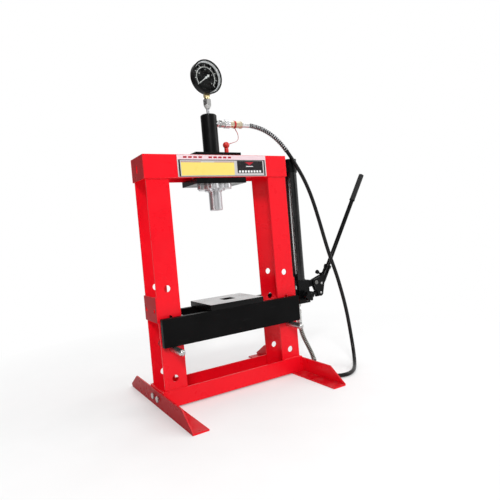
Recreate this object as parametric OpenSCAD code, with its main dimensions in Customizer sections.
// Bench hydraulic shop press: a red H-frame, a removable ram with a pressure gauge,
// a side-mounted hand pump with its hose, and a height-adjustable bed on two pins.
// Millimetres, +Z up. The origin is on the floor, on the axis of the ram.

/* [Frame] */
// Width across the outside of the two posts
frame_w = 493; // [480:1:520]
// Depth of each post, front to back
post_d = 104; // [96:1:108]
// Width of each post
post_w = 71; // [64:1:80]
// Thickness of the folded frame plate
wall = 4.5; // [4:0.5:6]
// Height of the top of the head
head_top = 748; // [740:1:800]
// Height of the head beams
head_h = 70; // [60:1:80]
// Reach of each foot in front of the ram axis
foot_front = 264; // [240:1:280]
// Reach of each foot behind the ram axis
foot_rear = 252; // [230:1:280]
// Width of each foot flange
foot_w = 47; // [45:1:52]
// Height of each foot flange
foot_h = 50; // [50:1:60]

/* [Bed] */
// Height of the lowest pair of pin holes
hole_z = 87; // [85:1:90]
// Distance from one pair of pin holes to the next
hole_pitch = 89; // [88:1:90]
// Diameter of the bed pins
pin_d = 20; // [18:0.5:20]
// Length of the bed beams
bed_len = 490; // [470:1:494]
// Height of the bed beams
bed_h = 84; // [80:1:86]
// Thickness of the bed beams
bed_t = 19; // [16:1:20]
// Depth across the two bed beams
bed_d = 154; // [152:1:160]
// Length of the arbor plate
arbor_len = 190; // [170:1:200]
// Thickness of the arbor plate
arbor_t = 18; // [14:1:20]

/* [Ram] */
// Outer diameter of the ram cylinder
cyl_d = 52; // [52:0.5:53]
// Bore of the ram cylinder
cyl_bore = 44; // [44:0.5:44.5]
// Diameter of the piston rod
rod_d = 42; // [40:0.5:42]
// Height of the top of the cylinder
cyl_top = 886; // [880:1:890]
// Distance from the floor to the end of the rod
rod_tip = 578; // [570:1:590]

/* [Gauge] */
// Radius of the gauge case
gauge_r = 54; // [48:1:55]
// Height of the gauge centre
gauge_z = 1004; // [1002:1:1010]
// Angle that the gauge is turned to the right
gauge_turn = 6; // [0:1:10]
// Angle from straight down to the zero of the scale
zero_angle = 52; // [45:1:60]

/* [Pump] */
// Distance from the ram axis to the reservoir axis
pump_x = 309; // [307:1:312]
// Diameter of the reservoir tube
tank_d = 44; // [40:1:46]
// Angle of the handle from the vertical
handle_tilt = 31.7; // [25:0.1:38]
// Length of the handle bar from the foot of its socket
handle_len = 456; // [420:1:480]

/* [Hose] */
// Outer diameter of the hose
hose_d = 13; // [11:0.5:13]
// Outer diameter of the spring guards
guard_d = 17; // [15:0.5:17]

/* [Hidden] */
$fn = 64;

frame_red = "#e3141f";
dark_red = "#a30f18";
press_black = "#17181a";
zinc = "#c9ccd0";
chrome = "#dfe3e8";
brass = "#c29a3f";
clear = 0.02;

// Frame
post_out = frame_w / 2;
post_in = post_out - post_w;
post_y = post_d / 2;
shell_y = post_y + wall;
head_low = head_top - head_h;
base_top = 55;
post_low = 2 * wall;
plate_out = post_out + wall;
base_in = post_out + 3.5;
foot_in = base_in + wall;
foot_out = foot_in + wall;
foot_cut = 64;
foot_bolt_y = 20;
foot_bolt_z = 28;
side_low = 257;
side_high = 332;
side_bolt_y = 35;
side_bolt_z = 291;
cap_bolt_y = 24;
cap_bolt_z = 722;
bolt_d = 10;
free_hole_d = 12;
flange_in = 28;

// Bed
hole_d = pin_d + 0.5;
hole_x = (post_out + post_in) / 2;
pin_z = hole_z + hole_pitch - (hole_d - pin_d) / 2 + clear;
bed_low = pin_z + pin_d / 2 + clear;
bed_top = bed_low + bed_h;
bed_y = bed_d / 2;
rear_bed_len = bed_len - 26;
spacer_x = 150;
spacer_d = 34;
spacer_z = bed_top - 28;
pin_front = 130;
pin_back = 86;
arbor_x = 8;
arbor_hole = 40;
arbor_hole_x = 12;

// Ram
top_plate_t = 10;
low_plate_t = 18;
low_plate_z = head_low - low_plate_t;
gland_d = 48;
gland_low = 638;
wiper_t = 1.5;
wiper_h = 4;
tube_low = low_plate_z + 12;
rod_gap = 0.05;
rod_run_d = rod_d + 2 * rod_gap;
piston_low = 762;
piston_h = 20;
piston_r = cyl_bore / 2 - rod_gap;
seal_low = piston_low + 6;
seal_high = piston_low + 12;
seal_t = 3;
cyl_roof = cyl_top - 20;
port_z = 860;
port_d = 14;
port_hex = 19;
screw_x = 66;
screw_y = 16;
nut_r = 60;
nut_low = 646;

// Couplings at the ram, by distance from its axis
nipple_end = 46;
socket_x = 38;
coupler_d = 24;
joint_x = 56;
body_x = 74;
body_end = 112;
ferrule_x = 120;
hose_x = 150;
core_d = 18;
body_d = 23;

// Gauge
case_front = -14;
case_back = 10;
stem_d = 10;
adapter_low = 906;
adapter_high = 936;
square_low = 944;
fitting_w = 16;
dial_y = -4;
dial_r = 44.5;
dial_t = 2;
bezel_w = 4.5;
case_r = gauge_r - 1.5;
case_inner_r = case_r - 2;
shaft_d = 5;
needle_y = -6;

// Pump
tank_low = 310;
tank_bore = tank_d - 4;
tank_high = 730;
cap_low = 697;
cap_high = 745;
head_x0 = 288;
head_x1 = 336;
head_y = 24;
head_z0 = 228;
barrel_end = 342;
pivot = [380, 0, 294];
rivet = [404, 0, 288];
crank = [398, 0, 254];
rivet_d = 9;
crank_d = 8;
lug_t = 10;
lever_t = 5;
lever_in = lug_t / 2 + 0.3;
lever_out = lever_in + lever_t;
bar_foot = [414, 0, 289];
bar_d = 16;
socket_d = 24;
socket_from = 10;
socket_to = 70;
bar_from = socket_from + 6;
screw_at = 26;
screw_d = 7;
grip_from = 352;
grip_d = 19.5;
plunger_d = 14;
knob = [315, -40, 255];
valve_d = 10;
valve_h = 8;
outlet_x = 297;
outlet_z = 158;
outlet_nut = 192;
outlet_top = 204;
outlet_d = 12;
cap_foot_t = 7;
head_foot_t = 8;

// Hose route, from the coupler at the ram to the outlet under the pump
LOOP_X = 322;
LOOP_Y = -150;
LOOP_R = 55;
FLOOR_Z = 7.5;
ROUTE = concat(
    [[hose_x, 0, port_z], [195, 0, 853], [236, -5, 832], [266, -14, 802], [285, -26, 768],
     [303, -38, 728], [320, -51, 684], [335, -61, 638], [350, -71, 576], [368, -80, 484],
     [386, -86, 400], [408, -90, 332], [424, -92, 268], [437, -94, 208], [446, -95, 150],
     [450, -98, 96], [446, -108, 55], [429, -129, 24.5], [403, -156, 10.5], [375, -181, FLOOR_Z]],
    [for (a = [-60:-30:-210])
        [LOOP_X + LOOP_R * cos(a), LOOP_Y + LOOP_R * sin(a), FLOOR_Z]],
    [[287, -98, 9.5], [301, -73, 12], [313, -50, 21], [320, -30, 42], [317, -13, 70],
     [309, -3, 98], [301, 0, 128], [outlet_x, 0, outlet_z]]
);
STRAP = [
    [95, 0, 847.5], [98, 0, 841], [103, 0, 832], [105, 0, 821], [103, 0, 811], [95, 0, 804],
    [80, 0, 799], [66.4, 0, 794.8]
];
STEPS = 2;
RING_SIDES = 10;
RAM_GUARD_END = 8;
PUMP_GUARD_START = 56;

function unit(v) = v / norm(v);

// Point at fraction t of the smooth curve between b and c, with neighbours a and d
function curve_point(a, b, c, d, t) =
    0.5 * (2 * b + (c - a) * t + (2 * a - 5 * b + 4 * c - d) * t * t
           + (3 * b - a - 3 * c + d) * t * t * t);

function smooth_path(p, steps) =
    let (last = len(p) - 1)
    concat(
        [for (i = [0:last - 1], s = [0:steps - 1])
            curve_point(p[max(i - 1, 0)], p[i], p[i + 1], p[min(i + 2, last)], s / steps)],
        [p[last]]
    );

function path_tangents(p) =
    [for (i = [0:len(p) - 1]) unit(p[min(i + 1, len(p) - 1)] - p[max(i - 1, 0)])];

function square_to(u, t) = unit(u - (u * t) * t);

// A side direction for every ring, carried along so that the tube does not twist
function path_sides(tangents) =
    [for (i = 0, u = square_to([0, 1, 0.2], tangents[0]);
          i < len(tangents);
          u = square_to(u, tangents[min(i + 1, len(tangents) - 1)]), i = i + 1) u];

function ring_points(c, t, u, r, n) =
    let (v = cross(t, u))
    [for (k = [0:n - 1]) c + r * (cos(360 * k / n) * u + sin(360 * k / n) * v)];

function tube_faces(rings, n) =
    concat(
        [[for (k = [0:n - 1]) k]],
        [for (i = [0:rings - 2], k = [0:n - 1])
            [i * n + k, (i + 1) * n + k, (i + 1) * n + (k + 1) % n, i * n + (k + 1) % n]],
        [[for (k = [n - 1:-1:0]) (rings - 1) * n + k]]
    );

// The same faces with every four-sided one cut into two triangles
function halved(faces) =
    [for (f = faces) each (len(f) == 4 ? [[f[0], f[1], f[2]], [f[0], f[2], f[3]]] : [f])];

PATH = smooth_path(ROUTE, STEPS);
TANGENTS = [for (i = 0, t = path_tangents(PATH); i < len(PATH); i = i + 1)
    i == 0 ? [1, 0, 0] : i == len(PATH) - 1 ? [0, 0, 1] : t[i]];
SIDES = path_sides(TANGENTS);

// Round tube through the hose path from ring i0 to ring i1, which starts a hair after its ring
module path_tube(i0, i1, d) {
    points = [for (i = [i0:i1])
        let (start = i == i0 ? clear * TANGENTS[i] : [0, 0, 0])
        each ring_points(PATH[i] + start, TANGENTS[i], SIDES[i], d / 2, RING_SIDES)];
    polyhedron(points, tube_faces(i1 - i0 + 1, RING_SIDES), convexity = 8);
}

// Helpers: rods along each axis, from a to b
module rod_x(a, b, d, y = 0, z = 0) {
    translate([a, y, z]) rotate([0, 90, 0]) cylinder(d = d, h = b - a);
}

module rod_y(a, b, d, x = 0, z = 0) {
    translate([x, a, z]) rotate([-90, 0, 0]) cylinder(d = d, h = b - a);
}

module rod_z(a, b, d, x = 0, y = 0) {
    translate([x, y, a]) cylinder(d = d, h = b - a);
}

module block(low, high) {
    translate(low) cube(high - low);
}

module hex_x(a, b, across, y = 0, z = 0) {
    translate([a, y, z]) rotate([0, 90, 0]) cylinder(d = across / cos(30), h = b - a, $fn = 6);
}

module hex_z(a, b, across, x = 0, y = 0) {
    translate([x, y, a]) cylinder(d = across / cos(30), h = b - a, $fn = 6);
}

// Flat shape in the XZ plane, from y = a to y = b
module slab_y(a, b) {
    translate([0, b, 0]) rotate([90, 0, 0]) linear_extrude(b - a) children();
}

module turned_gauge() {
    translate([0, 0, gauge_z]) rotate([0, 0, gauge_turn]) children();
}

module along_handle() {
    translate(bar_foot) rotate([0, handle_tilt, 0]) children();
}

// ---- Frame ----

module base_channel() {
    color(frame_red) difference() {
        block([-foot_in, -shell_y, wall], [foot_in, shell_y, base_top]);
        block([-base_in, -post_y, post_low], [base_in, post_y, base_top + 1]);
        for (s = [-1, 1], y = [-foot_bolt_y, foot_bolt_y])
            rod_x(s * foot_in - 6, s * foot_in + 6, bolt_d, y, foot_bolt_z);
    }
}

// A post is a pair of flat bars, front and rear, with matching pin holes
module post() {
    color(frame_red) difference() {
        for (y = [-post_y, post_y - wall])
            block([-post_w / 2, y, post_low], [post_w / 2, y + wall, head_top - wall]);
        for (i = [0:3])
            rod_y(-post_d, post_d, hole_d, 0, hole_z + i * hole_pitch);
    }
}

module left_post() {
    translate([-hole_x, 0, 0]) post();
}

module right_post() {
    translate([hole_x, 0, 0]) post();
}

module foot_outline() {
    polygon([[-foot_front, 0], [foot_rear - 8, 0], [foot_rear, 9],
             [foot_rear - foot_cut, foot_h], [-foot_front + foot_cut, foot_h], [-foot_front, 6]]);
}

// Angle foot with its upright flange on the outside
module foot(side) {
    color(dark_red) difference() {
        union() {
            translate([side > 0 ? foot_in : -foot_out, 0, 0])
                rotate([90, 0, 90]) linear_extrude(wall) foot_outline();
            block([side > 0 ? foot_out - foot_w : -foot_in - 0.01, -foot_front, 0],
                  [side > 0 ? foot_in + 0.01 : -foot_out + foot_w, foot_rear - 8, wall]);
        }
        for (y = [-foot_bolt_y, foot_bolt_y])
            rod_x(side * foot_in - 10, side * foot_in + 10, bolt_d, y, foot_bolt_z);
    }
}

module left_foot() {
    foot(-1);
}

module right_foot() {
    foot(1);
}

// Bolt through a side of the frame: its head is on the outer face and its nut behind the inner one
module cross_bolt(face, inner, y, z, side) {
    head = 6;
    nut = 8;
    across = 17;
    mirror([side > 0 ? 0 : 1, 0, 0]) {
        rod_x(inner - nut, face, bolt_d, y, z);
        hex_x(face, face + head, across, y, z);
        hex_x(inner - nut, inner, across, y, z);
    }
}

module foot_bolts() {
    color(zinc) for (y = [-foot_bolt_y, foot_bolt_y]) {
        cross_bolt(foot_out, base_in, y, foot_bolt_z, 1);
        cross_bolt(foot_out, base_in, y, foot_bolt_z, -1);
    }
}

// Folded head beam: an outer web and a top flange between the posts
module head_beam() {
    color(frame_red) {
        block([-plate_out, post_y, head_low], [plate_out, shell_y, head_top]);
        block([-post_in + 1, shell_y - flange_in, head_top - wall],
              [post_in - 1, shell_y, head_top]);
    }
}

module head_front() {
    mirror([0, 1, 0]) head_beam();
}

module head_rear() {
    head_beam();
}

module end_slot(x) {
    slot_w = 9;
    slot_h = 22;
    slot_y = 5;
    slot_z = 712;
    block([x - wall, slot_y - slot_w / 2, slot_z - slot_h / 2],
          [x + 2 * wall, slot_y + slot_w / 2, slot_z + slot_h / 2]);
}

// Plates that close the two ends of the head
module head_end_plates() {
    color(dark_red) {
        difference() {
            block([-plate_out, -post_y, head_low], [-post_out, post_y, head_top]);
            end_slot(-plate_out);
        }
        difference() {
            block([post_out, -post_y, head_low], [plate_out, post_y, head_top]);
            for (y = [-cap_bolt_y, cap_bolt_y])
                rod_x(post_out - 1, plate_out + 1, bolt_d, y, cap_bolt_z);
        }
    }
}

// Pump mounting plates, one on each post, so that the pump can go on either side
module side_plates() {
    color(dark_red) for (side = [-1, 1])
        difference() {
            block([side > 0 ? post_out : -plate_out, -post_y, side_low],
                  [side > 0 ? plate_out : -post_out, post_y, side_high]);
            for (y = [-side_bolt_y, side_bolt_y])
                rod_x(side * (post_out + wall / 2) - wall, side * (post_out + wall / 2) + wall,
                      side > 0 ? bolt_d : free_hole_d, y, side_bolt_z);
        }
}

module name_plate() {
    left = -147;
    right = 168;
    color("gainsboro")
        block([left, -shell_y - 1, head_low + 2], [right, -shell_y, head_top - 1]);
}

// ---- Ram ----

module ram_top_plate() {
    half_x = 80;
    half_y = 50;
    color(press_black) difference() {
        block([-half_x, -half_y, head_top], [half_x, half_y, head_top + top_plate_t]);
        rod_z(head_top - 1, head_top + top_plate_t + 1, cyl_d);
        plate_screws();
    }
}

module ram_bottom_plate() {
    half_x = 88;
    half_y = 56;
    color(press_black) difference() {
        block([-half_x, -half_y, low_plate_z], [half_x, half_y, head_low]);
        rod_z(low_plate_z - 1, head_low + 1, gland_d);
        rod_z(tube_low, head_low + 1, cyl_d);
        plate_screws();
    }
}

// Countersunk screws that tie the two ram plates together
module plate_screws() {
    low = low_plate_z + 6;
    high = head_top + top_plate_t;
    shank_r = 4;
    sink = 5;
    color(zinc) for (x = [-screw_x, screw_x], y = [-screw_y, screw_y])
        translate([x, y, 0]) rotate_extrude()
            polygon([[0, low], [shank_r, low], [shank_r, high - sink], [shank_r + sink, high],
                     [0, high]]);
}

module ram_cylinder() {
    edge = 3;
    r = cyl_d / 2;
    color(press_black) difference() {
        rotate_extrude() polygon([
            [cyl_bore / 2, tube_low], [r, tube_low], [r, cyl_top - edge], [r - edge, cyl_top],
            [0, cyl_top], [0, cyl_roof], [cyl_bore / 2, cyl_roof]]);
        rod_z(cyl_roof - 1, cyl_top + 1, stem_d);
        rod_x(0, cyl_d, port_d, 0, port_z);
    }
}

// Bright guide sleeve that the rod runs in
module gland_sleeve() {
    spigot_top = tube_low + 9;
    color(chrome) rotate_extrude() polygon([
        [rod_run_d / 2, gland_low + wiper_h], [rod_run_d / 2 + wiper_t, gland_low + wiper_h],
        [rod_run_d / 2 + wiper_t, gland_low], [gland_d / 2 - 1, gland_low],
        [gland_d / 2, gland_low + 1], [gland_d / 2, tube_low], [cyl_bore / 2, tube_low],
        [cyl_bore / 2, spigot_top], [rod_run_d / 2, spigot_top]]);
}

module rod_wiper() {
    color("#222222") difference() {
        rod_z(gland_low, gland_low + wiper_h, rod_run_d + 2 * wiper_t);
        rod_z(gland_low - 1, gland_low + wiper_h + 1, rod_run_d);
    }
}

// Lobed ring nut that locks the ram into the lower plate
module ring_nut() {
    lobes = 6;
    lobe_d = 34;
    valley = 12;
    collar_d = 66;
    color(chrome) difference() {
        union() {
            rod_z(nut_low, low_plate_z, 2 * (nut_r - valley));
            rod_z(nut_low - 5, nut_low, collar_d);
            for (i = [0:lobes - 1])
                rotate(360 * i / lobes) translate([nut_r - lobe_d / 2, 0, nut_low + 1])
                    cylinder(d = lobe_d, h = low_plate_z - nut_low - 1);
        }
        rod_z(nut_low - 10, low_plate_z + 1, gland_d);
    }
}

module piston_rod() {
    r = rod_d / 2;
    top = piston_low + piston_h;
    recess = 3;
    recess_r = 6;
    edge = 2;
    color(chrome) rotate_extrude() polygon([
        [0, rod_tip + recess], [recess_r, rod_tip + recess], [recess_r + 1, rod_tip],
        [r - edge, rod_tip], [r, rod_tip + edge],
        [r, piston_low], [piston_r, piston_low], [piston_r, seal_low],
        [piston_r - seal_t, seal_low], [piston_r - seal_t, seal_high],
        [piston_r, seal_high], [piston_r, top], [0, top]]);
}

module piston_seal() {
    color("#2b2b2b") difference() {
        rod_z(seal_low, seal_high, 2 * piston_r);
        rod_z(seal_low - 1, seal_high + 1, 2 * (piston_r - seal_t));
    }
}

// Pull-back spring between the roof of the cylinder and the piston
module return_spring() {
    turns = 7;
    per_turn = 12;
    sides = 6;
    coil_r = 15;
    wire_r = 1.75;
    end_gap = 2.5;
    low = piston_low + piston_h + end_gap;
    high = cyl_roof - end_gap;
    steps = turns * per_turn;
    spine = [for (i = [0:steps])
        [coil_r * cos(360 * i / per_turn), coil_r * sin(360 * i / per_turn),
         low + (high - low) * i / steps]];
    tangents = path_tangents(spine);
    points = [for (i = [0:steps])
        each ring_points(spine[i], tangents[i], square_to([0, 0, 1], tangents[i]), wire_r, sides)];
    color(zinc) polyhedron(points, halved(tube_faces(steps + 1, sides)), convexity = 10);
}

// ---- Gauge ----

module gauge_stem() {
    color(chrome) rod_z(cyl_roof + 2, adapter_low, stem_d);
}

module gauge_adapter() {
    foot_r = 7;
    r = 14;
    edge = 3;
    color(zinc) intersection() {
        hex_z(adapter_low, adapter_high, 24);
        rotate_extrude() polygon([
            [0, adapter_low], [foot_r, adapter_low], [r, adapter_low + 2 * foot_r],
            [r, adapter_high - edge], [r - edge, adapter_high], [0, adapter_high]]);
    }
}

module gauge_fitting() {
    color(brass) {
        rod_z(adapter_high, square_low, fitting_w + 2);
        block([-fitting_w / 2, -fitting_w / 2, square_low],
              [fitting_w / 2, fitting_w / 2, gauge_z - gauge_r + 3]);
    }
}

// Shell of revolution about the gauge axis; u is the radius, v runs backwards
module gauge_shell(outline) {
    turned_gauge() rotate([90, 0, 0]) rotate_extrude() polygon(outline);
}

module gauge_case() {
    slope = 8;
    half = fitting_w / 2;
    color(press_black) difference() {
        gauge_shell([
            [0, -case_back], [case_r - slope, -case_back], [case_r, -case_back + 6],
            [case_r, -case_front], [case_inner_r, -case_front],
            [case_inner_r, -dial_y - dial_t], [0, -dial_y - dial_t]]);
        block([-half, -half, gauge_z - gauge_r - 2], [half, half, gauge_z - gauge_r + 3]);
    }
}

module gauge_bezel() {
    r = gauge_r;
    v = -case_front;
    color(press_black) gauge_shell([
        [r - bezel_w, v], [r, v], [r, v + 3], [r - 1.5, v + 5], [r - 3.5, v + 5],
        [r - bezel_w, v + 4]]);
}

// Bright sloping ring between the dial and the glass
module gauge_ring() {
    color("white") gauge_shell([
        [dial_r, -dial_y], [case_inner_r, -dial_y], [case_inner_r, -case_front],
        [case_inner_r - 1, -case_front]]);
}

module gauge_dial() {
    hole_r = shaft_d / 2 + 0.05;
    hole_h = 0.5;
    color("#101010") gauge_shell([
        [0, -dial_y - dial_t], [case_inner_r, -dial_y - dial_t], [case_inner_r, -dial_y],
        [hole_r, -dial_y], [hole_r, -dial_y - hole_h], [0, -dial_y - hole_h]]);
}

module gauge_needle() {
    length = 34;
    tail = 17;
    thick = 1;
    color("white") turned_gauge() translate([0, needle_y, 0]) {
        rod_y(-2, 1, shaft_d + 2);
        rod_y(0, 2.3, shaft_d);
        rotate([0, zero_angle, 0]) slab_y(-thick, 0)
            polygon([[-1.6, 0], [-0.5, -length], [0.5, -length], [1.6, 0],
                     [2.4, tail - 8], [5, tail - 7], [0, tail], [-5, tail - 7], [-2.4, tail - 8]]);
    }
}

module gauge_glass() {
    color("lightcyan", 0.3) turned_gauge() rod_y(case_front - 2, case_front, 2 * (gauge_r - bezel_w));
}

// ---- Hose end at the ram ----

module port_nipple() {
    hex_end = 34;
    color(chrome) {
        rod_x(cyl_bore / 2 + 1, nipple_end, port_d, 0, port_z);
        hex_x(cyl_d / 2 + 1, hex_end, port_hex, 0, port_z);
    }
}

// Notched half of the quick coupler
module coupler_socket() {
    notches = 6;
    notch_w = 5;
    notch_end = 43;
    notch_r = 9.5;
    color("#9a9da1") difference() {
        rod_x(socket_x, joint_x, coupler_d, 0, port_z);
        rod_x(socket_x - 1, nipple_end, port_d, 0, port_z);
        for (i = [0:notches - 1])
            translate([0, 0, port_z]) rotate([360 * i / notches, 0, 0])
                block([socket_x - 1, -notch_w / 2, notch_r],
                      [notch_end, notch_w / 2, coupler_d / 2 + 1]);
    }
}

// Knurled ring that turns on the coupler
module coupler_collar() {
    outer_d = 28;
    grooves = 3;
    groove_x = 61;
    groove_pitch = 4;
    groove_r = 1.2;
    side_gap = 0.2;
    color(chrome) difference() {
        rod_x(joint_x + side_gap, body_x - side_gap, outer_d, 0, port_z);
        rod_x(joint_x - 1, body_x + 1, core_d + 0.1, 0, port_z);
        for (i = [0:grooves - 1])
            translate([groove_x + groove_pitch * i, 0, port_z]) rotate([0, 90, 0])
                rotate_extrude() translate([outer_d / 2 + 0.2, 0, 0]) circle(r = groove_r);
    }
}

module coupler_body() {
    color(brass) {
        rod_x(joint_x, body_x, core_d, 0, port_z);
        rod_x(body_x, body_end, body_d, 0, port_z);
        hex_x(body_end, ferrule_x, 22, 0, port_z);
    }
}

// Moulded ring round the coupler, with a tail to the dust cap
module dust_strap() {
    ring_from = 88;
    ring_to = 98;
    ring_d = 27;
    tail_r = 2;
    sides = 8;
    path = smooth_path(STRAP, 2);
    tangents = path_tangents(path);
    points = [for (i = [0:len(path) - 1])
        each ring_points(path[i], tangents[i], square_to([0, 1, 0], tangents[i]), tail_r, sides)];
    color("#c61522") {
        difference() {
            rod_x(ring_from, ring_to, ring_d, 0, port_z);
            rod_x(ring_from - 1, ring_to + 1, body_d, 0, port_z);
        }
        polyhedron(points, tube_faces(len(path), sides), convexity = 6);
    }
}

module dust_cap() {
    cap_x = 56;
    foot = head_top + top_plate_t;
    stem_r = 7;
    ball_r = 11;
    ball_z = 791;
    color("#d11a26") translate([cap_x, 0, 0]) rotate_extrude() polygon(concat(
        [[0, foot], [stem_r, foot], [stem_r, ball_z - ball_r + 1]],
        [for (a = [-65:10:85]) [ball_r * cos(a), ball_z + ball_r * sin(a)]],
        [[0, ball_z + ball_r]]));
}

module ram_ferrule() {
    lip = 6;
    color(chrome) {
        rod_x(ferrule_x, hose_x, core_d, 0, port_z);
        rod_x(ferrule_x, ferrule_x + lip, core_d + 3, 0, port_z);
    }
}

// ---- Hose ----

module ram_guard() {
    color("#3a3d40") path_tube(0, RAM_GUARD_END, guard_d);
}

module hose() {
    color("#16171a") path_tube(RAM_GUARD_END, PUMP_GUARD_START, hose_d);
}

module pump_guard() {
    color("#9c9a90") path_tube(PUMP_GUARD_START, len(PATH) - 1, guard_d);
}

module pump_ferrule() {
    color("#b9b3a0") {
        rod_z(outlet_z, outlet_nut, core_d, outlet_x);
        hex_z(outlet_nut, outlet_top, port_hex, outlet_x);
    }
}

// ---- Pump ----

module reservoir() {
    color(press_black) difference() {
        rod_z(tank_low, tank_high, tank_d, pump_x);
        rod_z(tank_low - 1, tank_high + 1, tank_bore, pump_x);
    }
}

module pump_cap() {
    neck_y = 15;
    foot_y = 36;
    color(press_black) difference() {
        union() {
            rod_z(cap_low, cap_high, tank_d + 5, pump_x);
            block([plate_out, -neck_y, cap_low + 2], [pump_x, neck_y, cap_high - 2]);
            block([plate_out, -foot_y, cap_low], [plate_out + cap_foot_t, foot_y, cap_high]);
        }
        rod_z(cap_low - 1, tank_high, tank_d, pump_x);
        for (y = [-cap_bolt_y, cap_bolt_y])
            rod_x(plate_out - 1, plate_out + cap_foot_t + 1, bolt_d, y, cap_bolt_z);
    }
}

// Lug on the pump block that carries the pivot of the handle
module lug_outline() {
    root_x = head_x1 - 2;
    root_z = 278;
    upper = [356, 305];
    lower = [352, 280];
    r = 11;
    difference() {
        union() {
            polygon([[root_x, root_z], [root_x, tank_low], upper, [pivot[0], pivot[2] + r],
                     [pivot[0], pivot[2] - r], lower]);
            translate([pivot[0], pivot[2]]) circle(r = r);
        }
        translate([pivot[0], pivot[2]]) circle(d = bolt_d);
    }
}

module pump_head() {
    foot_y = 45;
    neck_y = 18;
    barrel_d = 28;
    gland = 6;
    color(press_black) difference() {
        union() {
            block([head_x0, -head_y, head_z0], [head_x1, head_y, tank_low]);
            block([plate_out, -neck_y, side_low], [head_x0 + 1, neck_y, tank_low]);
            block([plate_out, -foot_y, side_low], [plate_out + head_foot_t, foot_y, side_high]);
            rod_z(tank_low - 4, tank_low + 8, tank_bore, pump_x);
            rod_x(head_x1 - 1, barrel_end, barrel_d, 0, crank[2]);
            slab_y(-lug_t / 2, lug_t / 2) lug_outline();
            rod_y(-head_y - gland, -head_y + 1, 20, knob[0], knob[2]);
        }
        rod_x(head_x0 + 3, barrel_end + 1, plunger_d + 0.1, 0, crank[2]);
        rod_y(-head_y - gland - 1, -head_y + valve_h, valve_d + 0.1, knob[0], knob[2]);
        rod_z(head_z0 - 1, head_z0 + outlet_d, outlet_d, outlet_x);
        for (y = [-side_bolt_y, side_bolt_y])
            rod_x(plate_out - 1, plate_out + head_foot_t + 1, bolt_d, y, side_bolt_z);
    }
}

// Plunger rod with a slotted tongue that the lever pin drives
module pump_plunger() {
    rod_from = 328;
    rod_to = 381;
    tongue_y = 4;
    tongue_z = 14;
    slot_w = 10.4;
    slot_h = 20;
    color(chrome) {
        rod_x(rod_from, rod_to, plunger_d, 0, crank[2]);
        difference() {
            block([rod_to - 1, -tongue_y, crank[2] - tongue_z],
                  [crank[0] + 10, tongue_y, crank[2] + tongue_z]);
            block([crank[0] - slot_w / 2, -tongue_y - 1, crank[2] - slot_h / 2],
                  [crank[0] + slot_w / 2, tongue_y + 1, crank[2] + slot_h / 2]);
        }
    }
}

module pivot_pin() {
    washer_d = 15;
    washer_from = lever_out + 0.3;
    washer_to = lever_out + 3;
    color(zinc) {
        rod_y(-washer_to, washer_to, bolt_d, pivot[0], pivot[2]);
        rod_y(-washer_to, -washer_from, washer_d, pivot[0], pivot[2]);
        rod_y(washer_from, washer_to, washer_d, pivot[0], pivot[2]);
    }
}

module lever_outline() {
    eye_r = 13;
    rivet_r = 15;
    socket_root = [[430, 300], [423, 316], [412, 318]];
    difference() {
        union() {
            translate([pivot[0], pivot[2]]) circle(r = eye_r);
            translate([rivet[0], rivet[2]]) circle(r = rivet_r);
            translate([crank[0], crank[2]]) circle(r = eye_r);
            polygon(concat(
                [[pivot[0] - 4, pivot[2] + 12], [pivot[0] - 8, pivot[2] - 9],
                 [crank[0] - eye_r, crank[2]], [crank[0] + eye_r, crank[2]],
                 [rivet[0] + rivet_r, rivet[2] - 2]],
                socket_root));
        }
        translate([pivot[0], pivot[2]]) circle(d = bolt_d + 0.1);
        translate([rivet[0], rivet[2]]) circle(d = rivet_d);
        translate([crank[0], crank[2]]) circle(d = crank_d);
    }
}

// Two cheek plates and the socket that holds the bar
module handle_lever() {
    rim = 9;
    boss_d = 15;
    boss_h = 8;
    window_x = 4;
    window_from = 34;
    window_to = 58;
    color(press_black) difference() {
        union() {
            slab_y(-lever_out, -lever_in) lever_outline();
            slab_y(lever_in, lever_out) lever_outline();
            along_handle() rod_z(socket_from, socket_to, socket_d);
            along_handle() rod_z(socket_to - rim, socket_to, socket_d + 4);
            along_handle() translate([-socket_d / 2 + 3, 0, screw_at]) rotate([0, -90, 0])
                cylinder(d = boss_d, h = boss_h);
        }
        along_handle() rod_z(bar_from, socket_to + 1, bar_d + 0.1);
        along_handle() block([-window_x, -socket_d, window_from], [window_x, 0, window_to]);
        along_handle() translate([0, 0, screw_at]) rotate([0, -90, 0])
            cylinder(d = screw_d + 0.1, h = socket_d);
    }
}

module lever_pins() {
    reach = lever_out + 2.5;
    color(zinc) {
        rod_y(-reach, reach, rivet_d, rivet[0], rivet[2]);
        rod_y(-reach, reach, crank_d, crank[0], crank[2]);
    }
}

module handle_bar() {
    color("#35363a") along_handle() rod_z(bar_from, handle_len, bar_d);
}

module handle_grip() {
    end_t = 12;
    flange = 6;
    color("#1b1c1e") along_handle() difference() {
        union() {
            rod_z(grip_from, handle_len + end_t, grip_d);
            rod_z(grip_from, grip_from + flange, grip_d + 1.5);
        }
        rod_z(grip_from - 1, handle_len, bar_d);
    }
}

module thumb_screw() {
    head_from = 32;
    head_to = 40;
    head_d = 15;
    color(press_black) along_handle() translate([0, 0, screw_at]) rotate([0, -90, 0]) {
        rod_z(bar_d / 2 + 0.3, head_from + 4, screw_d);
        rod_z(head_from, head_to, head_d);
    }
}

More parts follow.
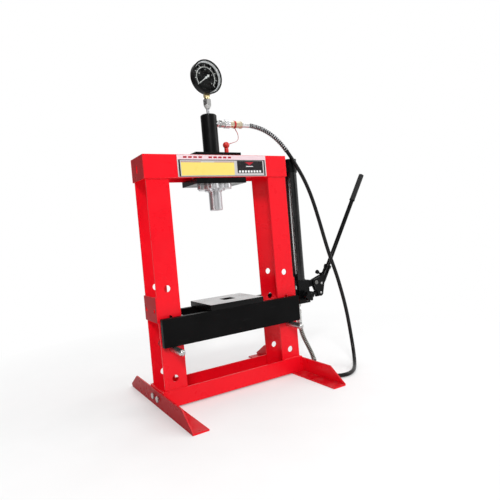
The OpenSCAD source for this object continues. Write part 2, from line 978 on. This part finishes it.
module release_knob() {
    lobes = 6;
    hub_r = 14;
    lobe_d = 11;
    thick = 12;
    recess_d = 9;
    stem = 23.5;
    color(press_black) translate([knob[0], knob[1], knob[2]]) rotate([90, 0, 0]) {
        rod_z(-stem, 2, valve_d);
        difference() {
            union() {
                cylinder(r = hub_r, h = thick);
                for (i = [0:lobes - 1])
                    rotate(360 * i / lobes) translate([hub_r - 1, 0, 0])
                        cylinder(d = lobe_d, h = thick);
            }
            rod_z(thick - 2, thick + 1, recess_d);
        }
    }
}

module pump_bolts() {
    color(zinc) for (y = [-1, 1]) {
        cross_bolt(plate_out + head_foot_t, post_out, y * side_bolt_y, side_bolt_z, 1);
        cross_bolt(plate_out + cap_foot_t, post_out, y * cap_bolt_y, cap_bolt_z, 1);
    }
}

module pump_outlet() {
    color(zinc) {
        rod_z(outlet_top, head_z0 + outlet_d, outlet_d, outlet_x);
        hex_z(head_z0 - outlet_d, head_z0, port_hex, outlet_x);
    }
}

// ---- Bed ----

module bed_beam(length) {
    color(press_black) block([-length / 2, bed_y - bed_t, bed_low], [length / 2, bed_y, bed_top]);
}

module bed_front() {
    mirror([0, 1, 0]) bed_beam(bed_len);
}

module bed_rear() {
    bed_beam(rear_bed_len);
}

module bed_spacers() {
    color(zinc) for (x = [-spacer_x, spacer_x])
        rod_y(-bed_y + bed_t, bed_y - bed_t, spacer_d, x, spacer_z);
}

module bed_pin(x) {
    taper = 2;
    front = -pin_front + pin_d / 2;
    color(zinc) union() {
        rod_y(front, pin_back - taper, pin_d, x, pin_z);
        translate([x, front, pin_z]) sphere(d = pin_d);
        translate([x, pin_back - taper, pin_z]) rotate([-90, 0, 0])
            cylinder(d1 = pin_d, d2 = pin_d - 2 * taper, h = taper);
    }
}

module left_pin() {
    bed_pin(-hole_x);
}

module right_pin() {
    bed_pin(hole_x);
}

module arbor_plate() {
    color("#8e9196") difference() {
        block([arbor_x - arbor_len / 2, -bed_y, bed_top + clear],
              [arbor_x + arbor_len / 2, bed_y, bed_top + arbor_t]);
        block([arbor_hole_x - arbor_hole / 2, -arbor_hole / 2, bed_top - 1],
              [arbor_hole_x + arbor_hole / 2, arbor_hole / 2, bed_top + arbor_t + 1]);
    }
}

base_channel();
left_post();
right_post();
left_foot();
right_foot();
foot_bolts();
head_front();
head_rear();
head_end_plates();
side_plates();
name_plate();
ram_top_plate();
ram_bottom_plate();
plate_screws();
ram_cylinder();
gland_sleeve();
rod_wiper();
ring_nut();
piston_rod();
piston_seal();
return_spring();
gauge_stem();
gauge_adapter();
gauge_fitting();
gauge_case();
gauge_bezel();
gauge_ring();
gauge_dial();
gauge_needle();
gauge_glass();
port_nipple();
coupler_socket();
coupler_collar();
coupler_body();
dust_strap();
dust_cap();
ram_ferrule();
ram_guard();
hose();
pump_guard();
pump_ferrule();
reservoir();
pump_cap();
pump_head();
pump_plunger();
pivot_pin();
handle_lever();
lever_pins();
handle_bar();
handle_grip();
thumb_screw();
release_knob();
pump_bolts();
pump_outlet();
bed_front();
bed_rear();
bed_spacers();
left_pin();
right_pin();
arbor_plate();
